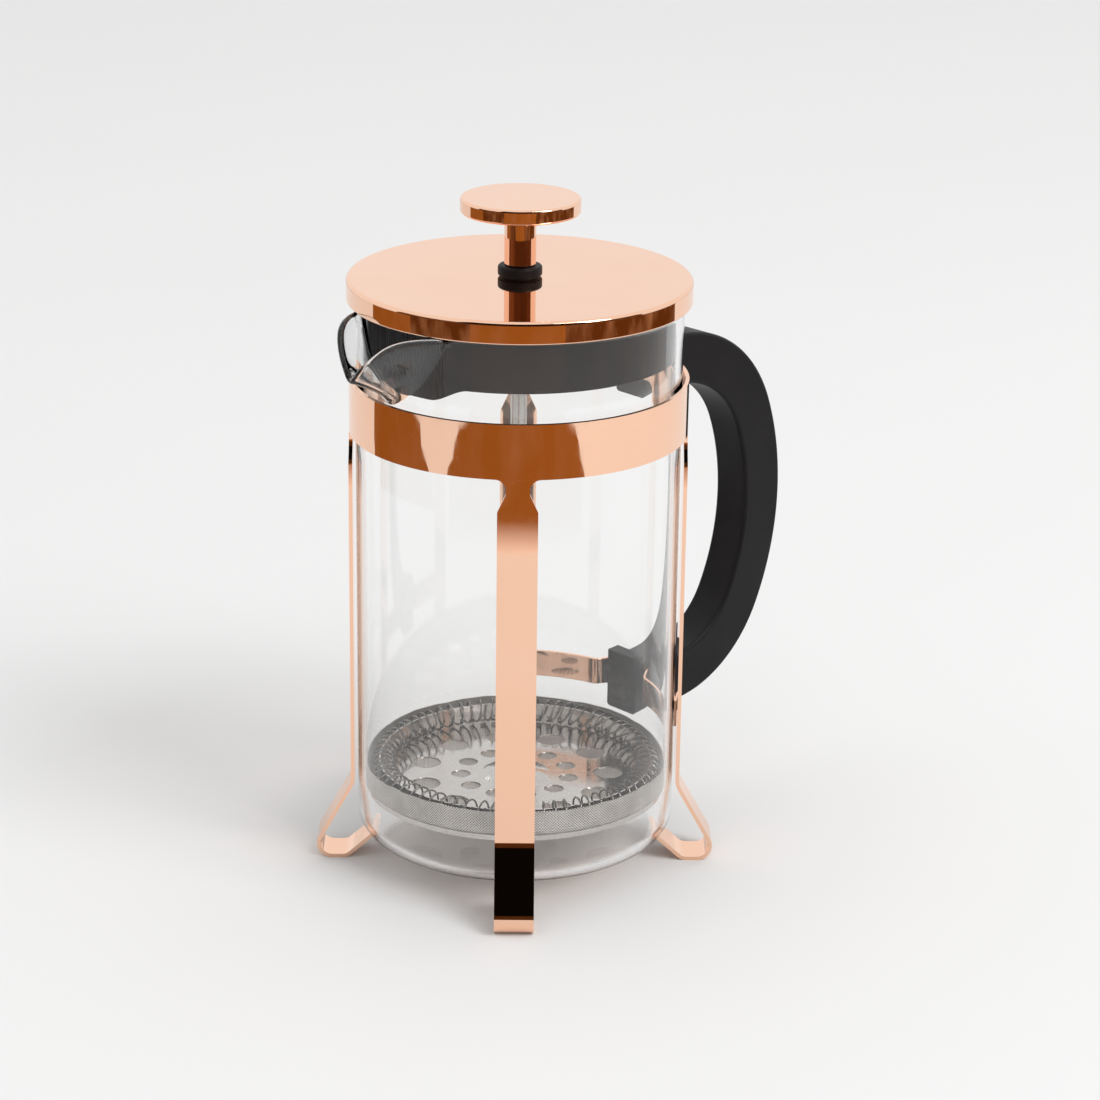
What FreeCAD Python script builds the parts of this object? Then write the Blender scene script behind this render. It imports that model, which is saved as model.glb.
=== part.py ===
import FreeCAD, Part
import math
import os
import re

import Sketcher

# A one-litre french press. The beaker's axis is Z, the feet stand on z = 0, the handle is towards +X
# and the spout towards -X. Lengths are in millimetres and angles in degrees.

DRIVING = {
    # how far a cutting outline reaches past the material
    "overshoot": 2.0,
    # glass beaker
    "glass_radius": 50.4,
    "glass_wall": 2.2,
    "glass_base": 10.0,
    "glass_floor": 2.6,
    "glass_rim": 184.6,
    "base_round": 8.0,
    # spout: four level outlines, from where it leaves the wall to above the lip
    "spout_root": 6.4,
    "spout_tip_half": 7.0,
    "spout_tip_bulge": 3.5,
    "spout_wall": 2.2,
    "spout_rise": 1.8,
    "channel_inset": 3.9,
    "lip_start": 54.0,
    "lip_bend": 61.0,
    "lip_bend_drop": 2.4,
    "lip_roll": 63.1,
    "lip_roll_drop": 5.3,
    "lip_end": 65.4,
    "lip_drop": 13.3,
    "lip_clear": 74.0,
    "low_height": 160.5,
    "low_reach": 50.2,
    "low_half": 9.0,
    "knee_height": 166.5,
    "knee_reach": 57.5,
    "knee_half": 14.0,
    "lip_height": 173.0,
    "lip_reach": 65.8,
    "lip_half": 19.0,
    "top_height": 187.0,
    "top_reach": 69.0,
    "top_half": 23.0,
    # sheet-metal frame
    "sheet": 1.2,
    "frame_radius": 52.4,
    "band_bottom": 143.8,
    "band_top": 160.8,
    "ear_bottom": 151.0,
    "ear_top": 159.4,
    "ear_end": 66.0,
    "ear_gap": 0.25,
    "ear_half_opening": 13.5,
    "ear_corner": 2.5,
    "leg_half": 6.1,
    "neck_half": 3.6,
    "neck_root": 6.8,
    "neck_start": 140.6,
    "neck_end": 139.2,
    "shoulder": 133.7,
    "bend_height": 28.0,
    "bend_radius": 7.0,
    "bend_angle": 29.0,
    "curl_radius": 4.4,
    "foot_flat": 3.0,
    "tail_radius": 4.0,
    "tail_angle": 42.0,
    "tail_end": 44.8,
    "strap_bottom": 41.5,
    "strap_top": 50.4,
    "strap_leave": 11.0,
    "strap_back": 56.9,
    "strap_square": 7.6,
    # handle
    "handle_width": 13.4,
    "handle_depth": 16.8,
    "handle_face": 52.8,
    "handle_top": 161.7,
    "neck_depth": 18.0,
    "crown_x": 66.5,
    "crown_radius": 48.2,
    "crown_angle": 22.2,
    "grip_radius": 86.3,
    "heel_angle": 27.4,
    "heel_radius": 44.6,
    "hook_face": 51.2,
    "hook_top": 55.0,
    "slot_inner": 56.5,
    "slot_outer": 58.5,
    "slot_floor": 40.6,
    "ear_slot_half": 1.8,
    "ear_slot_end": 67.0,
    "ear_slot_bottom": 150.6,
    "ear_slot_top": 159.8,
    "grip_round": 1.2,
    # clamp across the handle's neck
    "screw_x": 60.5,
    "screw_height": 155.2,
    "screw_radius": 1.7,
    "screw_head_radius": 3.6,
    "screw_head_height": 2.2,
    "screw_hole": 2.0,
    "counterbore_radius": 4.0,
    "counterbore_depth": 2.6,
    "screw_length": 8.7,
    "driver_half": 0.5,
    "driver_depth": 1.0,
    "nut_radius": 3.2,
    "nut_length": 3.2,
    # lid
    "lid_radius": 53.0,
    "lid_bottom": 185.2,
    "lid_top": 192.0,
    "lid_sheet": 0.8,
    "lid_round": 1.2,
    "insert_top": 191.1,
    "insert_web": 2.4,
    "flange_bottom": 185.0,
    "flange_radius": 51.9,
    "skirt_radius": 47.8,
    "skirt_wall": 2.0,
    "skirt_bottom": 169.0,
    "apron_bottom": 164.7,
    "apron_edge": 45.2,
    "apron_slope": 6.0,
    "strainer_width": 1.2,
    "strainer_bottom": 170.0,
    "strainer_top": 184.0,
    "strainer_step": 4.0,
    "boss_radius": 8.0,
    "boss_bottom": 181.3,
    # bushing that guides the rod
    "running": 0.05,
    "bushing_neck": 5.0,
    "bushing_bottom": 178.6,
    "bushing_waist": 6.0,
    "bushing_waist_top": 192.8,
    "bushing_collar": 6.8,
    "bushing_top": 195.6,
    "collar_round": 0.6,
    "bushing_seat": 192.05,
    "clip_bottom": 180.0,
    "clip_top": 181.0,
    "clip_radius": 7.0,
    # plunger
    "rod_radius": 2.5,
    "rod_bottom": 20.5,
    "rod_top": 213.9,
    "bore_clear": 0.05,
    "stem_radius": 4.9,
    "stem_bottom": 195.9,
    "knob_radius": 18.4,
    "knob_bottom": 212.0,
    "knob_top": 216.7,
    "knob_socket": 214.3,
    "knob_round": 1.0,
    "cross_bottom": 26.2,
    "cross_top": 27.0,
    "cross_radius": 46.8,
    "cross_edge": 0.9,
    "screen_radius": 47.8,
    "screen_sheet": 0.4,
    "screen_top": 35.4,
    "screen_round": 1.0,
    "plate_sheet": 0.5,
    "plate_rim": 43.65,
    "plate_rim_top": 34.2,
    "dome_radius": 11.0,
    "dome_rise": 1.2,
    "dome_flat": 6.2,
    "large_hole": 4.7,
    "large_circle": 29.8,
    "large_turn": 22.0,
    "small_hole": 3.1,
    "small_circle": 17.4,
    "small_turn": 8.0,
    "rim_hole_half": 0.8,
    "rim_hole_bottom": 28.2,
    "rim_hole_top": 30.2,
    "coil_height": 32.0,
    "coil_radius": 3.6,
    "coil_wall": 0.7,
    "coil_slot": 0.9,
    "cross_large_hole": 8.0,
    "cross_large_circle": 31.0,
    "cross_small_hole": 3.4,
    "cross_small_circle": 15.0,
    "collar_radius": 5.2,
    "collar_top": 32.4,
    "hub_radius": 5.6,
    "hub_bottom": 20.0,
}

LEG_ANGLES = {
    "leg_handle_left": 45,
    "leg_spout_left": 135,
    "leg_spout_right": 225,
    "leg_handle_right": 315,
}
SPOUT_LEVELS = ("low", "knee", "lip", "top")
# the beaker and the lid's body stand turned this far in the frame, spout towards +Y
SPOUT_TURN = -5
PLATE_HOLES = 11
CROSS_LARGE_HOLES = 8
CROSS_SMALL_HOLES = 6
RIM_HOLES = 72
STRAINER_SLOTS = 13

Z_AXIS = FreeCAD.Vector(0, 0, 1)
SAME_LENGTH = 0.01
SAME_VOLUME = 0.001
doc = FreeCAD.newDocument("FrenchPress")
sheet = doc.addObject("Spreadsheet::Sheet", "Dims")


def fill_sheet():
    for row, (alias, number) in enumerate(DRIVING.items(), start=1):
        sheet.set(f"A{row}", alias)
        sheet.set(f"B{row}", str(number))
        sheet.setAlias(f"B{row}", alias)
    doc.recompute()


def named(expression):
    """Writes each word of an expression that is a driving dimension as a reference to the sheet."""
    return re.sub(r"[a-z_]+", lambda word: f"Dims.{word[0]}" if word[0] in DRIVING else word[0], expression)


def value(expression):
    """The number that an expression of driving dimensions comes to."""
    result = sheet.evalExpression(named(expression))
    return float(getattr(result, "Value", result))


def bind(feature, quantity, expression):
    feature.setExpression(quantity, named(expression))


def new_body(label):
    body = doc.addObject("PartDesign::Body", label)
    body.Label = label
    return body


def sketch_on(body, name, plane, offset="0"):
    """A sketch on one of the body's own origin planes, raised by an offset along the plane's normal."""
    sketch = body.newObject("Sketcher::SketchObject", f"{body.Label}_{name}")
    base = next(item for item in body.Origin.OriginFeatures if item.Role == plane)
    sketch.AttachmentSupport = (base, [""])
    sketch.MapMode = "FlatFace"
    if offset != "0":
        bind(sketch, "AttachmentOffset.Base.z", offset)
    return sketch


def constrain(sketch, kind, *where, expression):
    """Adds one dimension to a sketch and binds it to the sheet."""
    number = value(expression)
    index = sketch.addConstraint(Sketcher.Constraint(kind, *where, number))
    if expression != "0":
        bind(sketch, f"Constraints[{index}]", expression)


def arc_between(start, end, radius, turn, major):
    """The arc of a circle from start to end, and whether it is drawn from its end to its start."""
    chord = end - start
    half = chord.Length / 2
    side = 1 if (turn == "left") != major else -1
    across = FreeCAD.Vector(-chord.y, chord.x, 0).normalize()
    centre = (start + end) * 0.5 + across * side * math.sqrt(max(radius**2 - half**2, 0))
    first, last = (start, end) if turn == "left" else (end, start)
    angles = [math.atan2(point.y - centre.y, point.x - centre.x) for point in (first, last)]
    if angles[1] < angles[0]:
        angles[1] += 2 * math.pi
    circle = Part.Circle(centre, Z_AXIS, radius)
    return Part.ArcOfCircle(circle, angles[0], angles[1]), turn == "right"


def outline(sketch, corners, closed=True):
    """Draws an outline. A corner is (x, y), or (x, y, radius, turn) where an arc leads to the next corner."""
    points = [FreeCAD.Vector(value(corner[0]), value(corner[1]), 0) for corner in corners]
    count = len(corners)
    ends = []
    for index in range(count if closed else count - 1):
        corner = corners[index]
        start, end = points[index], points[(index + 1) % count]
        if len(corner) == 2:
            edge = sketch.addGeometry(Part.LineSegment(start, end), False)
            ends.append((edge, 1, 2))
        else:
            major = len(corner) == 5
            arc, backwards = arc_between(start, end, value(corner[2]), corner[3], major)
            edge = sketch.addGeometry(arc, False)
            ends.append((edge, 2, 1) if backwards else (edge, 1, 2))
    for index, (edge, first, last) in enumerate(ends):
        if closed or index:
            previous, _, previous_last = ends[index - 1]
            sketch.addConstraint(Sketcher.Constraint("Coincident", previous, previous_last, edge, first))
        constrain(sketch, "DistanceX", edge, first, expression=corners[index][0])
        constrain(sketch, "DistanceY", edge, first, expression=corners[index][1])
        if len(corners[index]) > 2:
            constrain(sketch, "Radius", edge, expression=corners[index][2])
    if not closed:
        edge, _, last = ends[-1]
        constrain(sketch, "DistanceX", edge, last, expression=corners[-1][0])
        constrain(sketch, "DistanceY", edge, last, expression=corners[-1][1])


def rectangle(sketch, low_x, low_y, high_x, high_y):
    outline(sketch, [(low_x, low_y), (high_x, low_y), (high_x, high_y), (low_x, high_y)])


def circle(sketch, x, y, radius):
    centre = FreeCAD.Vector(value(x), value(y), 0)
    edge = sketch.addGeometry(Part.Circle(centre, Z_AXIS, value(radius)), False)
    constrain(sketch, "DistanceX", edge, 3, expression=x)
    constrain(sketch, "DistanceY", edge, 3, expression=y)
    constrain(sketch, "Radius", edge, expression=radius)


def feature(body, kind, name, profile):
    item = body.newObject(f"PartDesign::{kind}", f"{body.Label}_{name}")
    item.Profile = profile
    profile.Visibility = False
    return item


def turned(body, name, corners, kind="Revolution"):
    """Revolves an outline of (radius, height) corners about the Z axis."""
    profile = sketch_on(body, f"{name}_outline", "XZ_Plane")
    outline(profile, corners)
    item = feature(body, kind, name, profile)
    item.ReferenceAxis = (profile, ["V_Axis"])
    item.Angle = 360
    doc.recompute()
    return item


def padded(body, name, profile, length):
    item = feature(body, "Pad", name, profile)
    bind(item, "Length", length)
    doc.recompute()
    return item


def cut_through(body, name, profile):
    """Cuts a profile right through the body on both sides of its plane."""
    before = body.Shape.Volume
    item = feature(body, "Pocket", name, profile)
    item.Type = "ThroughAll"
    item.SideType = "Symmetric"
    doc.recompute()
    check_cut(body, name, before)
    return item


def check_cut(body, name, before):
    if body.Shape.Volume > before - SAME_VOLUME:
        raise RuntimeError(f"{name} removed nothing from {body.Label}")


def polar(body, name, original, count, angle=360.0):
    pattern = body.newObject("PartDesign::PolarPattern", f"{body.Label}_{name}")
    pattern.Originals = [original]
    axis = next(item for item in body.Origin.OriginFeatures if item.Role == "Z_Axis")
    pattern.Axis = (axis, [""])
    pattern.Angle = angle
    pattern.Occurrences = count
    body.Tip = pattern
    doc.recompute()
    return pattern


def edges_where(shape, test):
    return [f"Edge{index}" for index, edge in enumerate(shape.Edges, start=1) if test(edge)]


def rounded(body, name, test, radius):
    """Rounds every edge of the body's last feature for which the test is true."""
    base = body.Tip
    item = body.newObject("PartDesign::Fillet", f"{body.Label}_{name}")
    item.Base = (base, edges_where(base.Shape, test))
    bind(item, "Radius", radius)
    doc.recompute()
    return item


def is_circle(edge, radius, height):
    """Is this edge a circle about the Z axis, of this radius and at this height?"""
    curve = edge.Curve
    if not isinstance(curve, Part.Circle):
        return False
    return abs(curve.Radius - radius) < SAME_LENGTH and abs(curve.Center.z - height) < SAME_LENGTH


def turn_about_z(body, angle):
    body.Placement = FreeCAD.Placement(FreeCAD.Vector(), FreeCAD.Rotation(Z_AXIS, angle))


# ---------------------------------------------------------------- glass beaker


def spout_section(body, name, level, wall):
    """One level outline of the spout: a wedge from the beaker's wall to a rounded tip."""
    base = f"{level}_height + {wall} * spout_rise / spout_wall"
    sketch = sketch_on(body, name, "XY_Plane", base)
    root = f"0 - (glass_radius - spout_root - {wall} * channel_inset / spout_wall)"
    tip = f"0 - ({level}_reach - {wall} - spout_tip_bulge)"
    half = f"{level}_half"
    bulge = "(spout_tip_half * spout_tip_half + spout_tip_bulge * spout_tip_bulge) / (2 * spout_tip_bulge)"
    outline(
        sketch,
        [
            (root, half),
            (tip, "spout_tip_half", bulge, "left"),
            (tip, "0 - spout_tip_half"),
            (root, f"0 - {half}"),
        ],
    )
    return sketch


def spout(body, name, kind, wall):
    sections = [spout_section(body, f"{name}_{level}", level, wall) for level in SPOUT_LEVELS]
    item = feature(body, kind, name, sections[0])
    item.Sections = sections[1:]
    item.Ruled = False
    doc.recompute()


def make_beaker():
    body = new_body("glass_beaker")
    inner = "(glass_radius - glass_wall)"
    inner_round = "(base_round - glass_wall)"
    inside = "(glass_base + glass_floor)"
    above = "top_height + spout_rise + overshoot"
    turned(
        body,
        "outside",
        [
            ("0", "glass_base"),
            ("glass_radius - base_round", "glass_base", "base_round", "left"),
            ("glass_radius", "glass_base + base_round"),
            ("glass_radius", "glass_rim"),
            ("0", "glass_rim"),
        ],
    )
    spout(body, "spout", "AdditiveLoft", "0")
    before = body.Shape.Volume
    turned(
        body,
        "inside",
        [
            ("0", inside),
            (f"{inner} - {inner_round}", inside, inner_round, "left"),
            (inner, f"{inside} + {inner_round}"),
            (inner, above),
            ("0", above),
        ],
        kind="Groove",
    )
    check_cut(body, "inside", before)
    spout(body, "channel", "SubtractiveLoft", "spout_wall")
    trim = sketch_on(body, "lip_trim", "XZ_Plane")
    outline(
        trim,
        [
            ("0 - lip_start", "glass_rim"),
            ("0 - glass_radius / 2", "glass_rim"),
            ("0 - glass_radius / 2", above),
            ("0 - lip_clear", above),
            ("0 - lip_clear", "glass_rim - lip_drop"),
            ("0 - lip_end", "glass_rim - lip_drop"),
            ("0 - lip_roll", "glass_rim - lip_roll_drop"),
            ("0 - lip_bend", "glass_rim - lip_bend_drop"),
        ],
    )
    cut_through(body, "lip", trim)
    turn_about_z(body, SPOUT_TURN)
    return body


# ---------------------------------------------------------------- frame


def make_band():
    """The split band. Its two ends turn outwards as ears that the handle's screw draws together."""
    body = new_body("frame_band")
    inner = "(frame_radius - sheet)"
    ear = "(ear_gap + sheet)"
    outside = f"sqrt(frame_radius * frame_radius - {ear} * {ear})"
    inside = f"sqrt({inner} * {inner} - ear_gap * ear_gap)"
    profile = sketch_on(body, "plan", "XY_Plane", "band_bottom")
    outline(
        profile,
        [
            ("ear_end", "ear_gap"),
            ("ear_end", ear),
            (outside, ear, "frame_radius", "left", "major"),
            (outside, f"0 - {ear}"),
            ("ear_end", f"0 - {ear}"),
            ("ear_end", "0 - ear_gap"),
            (inside, "0 - ear_gap", inner, "right", "major"),
            (inside, "ear_gap"),
        ],
    )
    padded(body, "ring", profile, "band_top - band_bottom")
    corner = "ear_corner"
    edge = "ear_half_opening"
    below = sketch_on(body, "ear_underside", "YZ_Plane", "frame_radius / 2")
    outline(
        below,
        [
            (f"0 - {edge} - {corner}", "band_bottom - overshoot"),
            (f"{edge} + {corner}", "band_bottom - overshoot"),
            (f"{edge} + {corner}", "band_bottom", corner, "right"),
            (edge, f"band_bottom + {corner}"),
            (edge, f"ear_bottom - {corner}", corner, "left"),
            (f"{edge} - {corner}", "ear_bottom"),
            (f"{corner} - {edge}", "ear_bottom", corner, "left"),
            (f"0 - {edge}", f"ear_bottom - {corner}"),
            (f"0 - {edge}", f"band_bottom + {corner}", corner, "right"),
            (f"0 - {edge} - {corner}", "band_bottom"),
        ],
    )
    before = body.Shape.Volume
    cut = feature(body, "Pocket", "ear_cut", below)
    cut.Type = "Length"
    cut.Reversed = True
    bind(cut, "Length", "frame_radius")
    doc.recompute()
    check_cut(body, "ear_cut", before)
    above = sketch_on(body, "ear_topside", "XZ_Plane")
    rectangle(above, "frame_radius", "ear_top", "ear_end + overshoot", "band_top + overshoot")
    cut_through(body, "ear_trim", above)
    hole = sketch_on(body, "ear_hole", "XZ_Plane")
    circle(hole, "screw_x", "screw_height", "screw_hole")
    cut_through(body, "ear_holes", hole)
    return body


def leg_path(body):
    """The centre line of a leg's strip, from the band down, out, round the foot and in under the glass."""
    centre = "(frame_radius - sheet / 2)"
    low = "(sheet / 2)"
    bend_x = f"({centre} + bend_radius * (1 - cos(bend_angle)))"
    bend_z = "(bend_height - bend_radius * sin(bend_angle))"
    curl_z = f"({low} + curl_radius)"
    slope_z = f"({curl_z} + curl_radius * sin(bend_angle))"
    slope_x = f"({bend_x} + ({bend_z} - {slope_z}) * tan(bend_angle))"
    curl_x = f"({slope_x} - curl_radius * cos(bend_angle))"
    tail_x = f"({curl_x} - foot_flat)"
    rise_x = f"({tail_x} - tail_radius * sin(tail_angle))"
    rise_z = f"({low} + tail_radius * (1 - cos(tail_angle)))"
    end_z = f"({rise_z} + ({rise_x} - tail_end) * tan(tail_angle))"
    path = sketch_on(body, "path", "XZ_Plane")
    outline(
        path,
        [
            (centre, "band_bottom"),
            (centre, "bend_height", "bend_radius", "left"),
            (bend_x, bend_z),
            (slope_x, slope_z, "curl_radius", "right"),
            (curl_x, low),
            (tail_x, low, "tail_radius", "right"),
            (rise_x, rise_z),
            ("tail_end", end_z),
        ],
        closed=False,
    )
    return path


def make_leg(label, angle):
    """A flat strip with a waisted top, bent into a foot. It is drawn along +X and turned into place."""
    body = new_body(label)
    path = leg_path(body)
    section = sketch_on(body, "section", "XY_Plane", "band_bottom")
    rectangle(section, "frame_radius - sheet", "0 - leg_half", "frame_radius", "leg_half")
    strip = feature(body, "AdditivePipe", "strip", section)
    strip.Spine = (path, [""])
    strip.Transition = "Transformed"
    path.Visibility = False
    doc.recompute()
    waist = sketch_on(body, "waist", "YZ_Plane", "frame_radius - sheet - overshoot")
    for side, turn in (("1", "left"), ("-1", "right")):
        outline(
            waist,
            [
                (f"{side} * (leg_half + overshoot)", "shoulder"),
                (f"{side} * (leg_half + overshoot)", "band_bottom + overshoot"),
                (f"{side} * neck_root", "band_bottom + overshoot"),
                (f"{side} * neck_root", "band_bottom", "neck_root - neck_half", turn),
                (f"{side} * neck_half", "neck_start"),
                (f"{side} * neck_half", "neck_end"),
                (f"{side} * leg_half", "shoulder"),
            ],
        )
    before = body.Shape.Volume
    cut = feature(body, "Pocket", "waist_cut", waist)
    cut.Type = "Length"
    cut.Reversed = True
    bind(cut, "Length", "sheet + 2 * overshoot")
    doc.recompute()
    check_cut(body, "waist_cut", before)
    turn_about_z(body, angle)
    return body


def make_strap():
    """The lower strap, from leg to leg behind the glass, with a square step for the handle's hook."""
    body = new_body("handle_strap")
    inner = "(frame_radius - sheet)"
    diagonal = "sqrt(0.5)"
    inner_run = f"sqrt({inner} * {inner} - leg_half * leg_half)"
    outer_run = "sqrt(frame_radius * frame_radius - leg_half * leg_half)"
    leave = "(strap_leave + sheet)"
    half_turn = [
        (f"{diagonal} * ({outer_run} + leg_half)", f"{diagonal} * ({outer_run} - leg_half)"),
        (f"sqrt(frame_radius * frame_radius - {leave} * {leave})", leave),
        ("strap_back + sheet", "strap_square + sheet / 2"),
    ]
    inner_turn = [
        ("strap_back", "strap_square"),
        (f"sqrt({inner} * {inner} - strap_leave * strap_leave)", "strap_leave"),
        (f"{diagonal} * ({inner_run} + leg_half)", f"{diagonal} * ({inner_run} - leg_half)"),
    ]
    upper_end, upper_leave, upper_back = half_turn
    inner_back, inner_leave, inner_end = inner_turn
    plan = sketch_on(body, "plan", "XY_Plane", "strap_bottom")
    outline(
        plan,
        [
            (*upper_end, "frame_radius", "right"),
            upper_leave,
            upper_back,
            mirrored(upper_back),
            mirrored(upper_leave) + ("frame_radius", "right"),
            mirrored(upper_end),
            mirrored(inner_end) + (inner, "left"),
            mirrored(inner_leave),
            mirrored(inner_back),
            inner_back,
            (*inner_leave, inner, "left"),
            inner_end,
        ],
    )
    padded(body, "strip", plan, "strap_top - strap_bottom")
    return body


def mirrored(corner):
    return (corner[0], f"-1 * ({corner[1]})")


# ---------------------------------------------------------------- handle


def handle_corners():
    """The handle's side outline: neck, crown, grip, heel, and the hook that holds the strap."""
    crown_z = "(handle_top - crown_radius)"
    grip_x = "(crown_x - (grip_radius - crown_radius) * cos(crown_angle))"
    grip_z = f"({crown_z} - (grip_radius - crown_radius) * sin(crown_angle))"
    heel_x = f"({grip_x} + (grip_radius - heel_radius) * cos(heel_angle))"
    heel_z = f"({grip_z} - (grip_radius - heel_radius) * sin(heel_angle))"
    crown_in = "(crown_radius - handle_depth)"
    grip_in = "(grip_radius - handle_depth)"
    heel_in = "(heel_radius - handle_depth)"
    return [
        ("handle_face", "handle_top"),
        ("crown_x", "handle_top", "crown_radius", "right"),
        (
            "crown_x + crown_radius * cos(crown_angle)",
            f"{crown_z} + crown_radius * sin(crown_angle)",
            "grip_radius",
            "right",
        ),
        (
            f"{grip_x} + grip_radius * cos(heel_angle)",
            f"{grip_z} - grip_radius * sin(heel_angle)",
            "heel_radius",
            "right",
        ),
        (heel_x, f"{heel_z} - heel_radius"),
        ("hook_face", f"{heel_z} - heel_radius"),
        ("hook_face", "hook_top"),
        ("slot_inner", "hook_top"),
        ("slot_inner", "slot_floor"),
        ("slot_outer", "slot_floor"),
        ("slot_outer", f"{heel_z} - {heel_in}"),
        (heel_x, f"{heel_z} - {heel_in}", heel_in, "left"),
        (
            f"{grip_x} + {grip_in} * cos(heel_angle)",
            f"{grip_z} - {grip_in} * sin(heel_angle)",
            grip_in,
            "left",
        ),
        (
            f"crown_x + {crown_in} * cos(crown_angle)",
            f"{crown_z} + {crown_in} * sin(crown_angle)",
            crown_in,
            "left",
        ),
        ("crown_x", "handle_top - handle_depth"),
        ("handle_face", "handle_top - neck_depth"),
    ]


def make_handle():
    body = new_body("handle")
    side = sketch_on(body, "side", "XZ_Plane")
    outline(side, handle_corners())
    pad = padded(body, "bar", side, "handle_width")
    pad.SideType = "Symmetric"
    doc.recompute()
    half = value("handle_width / 2")
    start = value("crown_x")

    def grip_edge(edge):
        """Is this edge on one of the two sides, and part of the curved bar?"""
        box = edge.BoundBox
        on_side = abs(abs(box.YMin) - half) < SAME_LENGTH and box.YLength < SAME_LENGTH
        return on_side and isinstance(edge.Curve, Part.Circle) and box.XMax > start

    rounded(body, "grip_edges", grip_edge, "grip_round")
    ears = sketch_on(body, "ear_slot", "XZ_Plane")
    rectangle(ears, "handle_face - overshoot", "ear_slot_bottom", "ear_slot_end", "ear_slot_top")
    before = body.Shape.Volume
    slot = feature(body, "Pocket", "ear_pocket", ears)
    slot.SideType = "Symmetric"
    bind(slot, "Length", "2 * ear_slot_half")
    doc.recompute()
    check_cut(body, "ear_pocket", before)
    beside = "handle_width / 2 + overshoot"
    for name, radius, near_side, length in (
        ("screw_way", "screw_hole", f"-1 * ({beside})", beside),
        ("counterbore", "counterbore_radius", f"-1 * ({beside})", "counterbore_depth + overshoot"),
        ("nut_pocket", "nut_radius", "0", "ear_slot_half + nut_length"),
    ):
        spot = sketch_on(body, name, "XZ_Plane", near_side)
        circle(spot, "screw_x", "screw_height", radius)
        before = body.Shape.Volume
        cut = feature(body, "Pocket", f"{name}_cut", spot)
        cut.Reversed = True
        bind(cut, "Length", length)
        doc.recompute()
        check_cut(body, name, before)
    return body


def make_screw():
    """The clamp screw, along -Y from its slotted head in the +Y side of the neck."""
    body = new_body("clamp_screw")
    head_face = "(handle_width / 2 - counterbore_depth)"
    head = sketch_on(body, "head", "XZ_Plane", f"-1 * {head_face}")
    circle(head, "screw_x", "screw_height", "screw_head_radius")
    cap = feature(body, "Pad", "cap", head)
    cap.Reversed = True
    bind(cap, "Length", "screw_head_height")
    doc.recompute()
    shank = sketch_on(body, "shank", "XZ_Plane", f"-1 * {head_face}")
    circle(shank, "screw_x", "screw_height", "screw_radius")
    padded(body, "stem", shank, "screw_length")
    slot = sketch_on(body, "driver", "XZ_Plane", f"-1 * ({head_face} + screw_head_height)")
    reach = "(screw_head_radius + overshoot)"
    low, high = "screw_height - driver_half", "screw_height + driver_half"
    rectangle(slot, f"screw_x - {reach}", low, f"screw_x + {reach}", high)
    before = body.Shape.Volume
    cut = feature(body, "Pocket", "driver_slot", slot)
    cut.Reversed = True
    bind(cut, "Length", "driver_depth")
    doc.recompute()
    check_cut(body, "driver_slot", before)
    return body


def make_nut():
    body = new_body("clamp_nut")
    ring = sketch_on(body, "ring", "XZ_Plane", "ear_slot_half")
    circle(ring, "screw_x", "screw_height", "nut_radius - bore_clear")
    circle(ring, "screw_x", "screw_height", "screw_radius + bore_clear")
    padded(body, "barrel", ring, "nut_length")
    return body


# ---------------------------------------------------------------- lid


def make_cover():
    """The polished cap of the lid: a shallow inverted cup with a hole for the bushing."""
    body = new_body("lid_cover")
    bore = "bushing_neck + running"
    turned(
        body,
        "cup",
        [
            (bore, "lid_top - lid_sheet"),
            ("lid_radius - lid_sheet", "lid_top - lid_sheet"),
            ("lid_radius - lid_sheet", "lid_bottom"),
            ("lid_radius", "lid_bottom"),
            ("lid_radius", "lid_top - lid_round", "lid_round", "left"),
            ("lid_radius - lid_round", "lid_top"),
            (bore, "lid_top"),
        ],
    )
    return body


def make_insert():
    """The plastic body of the lid. Its skirt centres it in the glass and is deeper beside the spout."""
    body = new_body("lid_insert")
    bore = "bushing_neck + running"
    inner = "skirt_radius - skirt_wall"
    turned(
        body,
        "section",
        [
            (bore, "boss_bottom"),
            ("boss_radius", "boss_bottom"),
            ("boss_radius", "insert_top - insert_web"),
            (inner, "insert_top - insert_web"),
            (inner, "apron_bottom"),
            ("skirt_radius", "apron_bottom"),
            ("skirt_radius", "flange_bottom"),
            ("flange_radius", "flange_bottom"),
            ("flange_radius", "insert_top"),
            (bore, "insert_top"),
        ],
    )
    shorter = sketch_on(body, "shorter_side", "XZ_Plane")
    outline(
        shorter,
        [
            ("apron_slope - apron_edge", "skirt_bottom"),
            ("skirt_radius + overshoot", "skirt_bottom"),
            ("skirt_radius + overshoot", "apron_bottom - overshoot"),
            ("0 - apron_edge", "apron_bottom - overshoot"),
            ("0 - apron_edge", "apron_bottom"),
        ],
    )
    cut_through(body, "apron", shorter)
    bar = sketch_on(body, "strainer", "YZ_Plane", "-1 * (skirt_radius + overshoot)")
    rectangle(bar, "strainer_width / -2", "strainer_bottom", "strainer_width / 2", "strainer_top")
    before = body.Shape.Volume
    first = feature(body, "Pocket", "strainer_slot", bar)
    first.Reversed = True
    bind(first, "Length", "skirt_wall + 2 * overshoot")
    doc.recompute()
    check_cut(body, "strainer_slot", before)
    half = (STRAINER_SLOTS + 1) // 2
    span = value("strainer_step") * (half - 1)
    for name, reverse in (("strainer_left", False), ("strainer_right", True)):
        pattern = polar(body, name, first, half, span)
        pattern.Reversed = reverse
        doc.recompute()
    turn_about_z(body, SPOUT_TURN)
    return body


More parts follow.
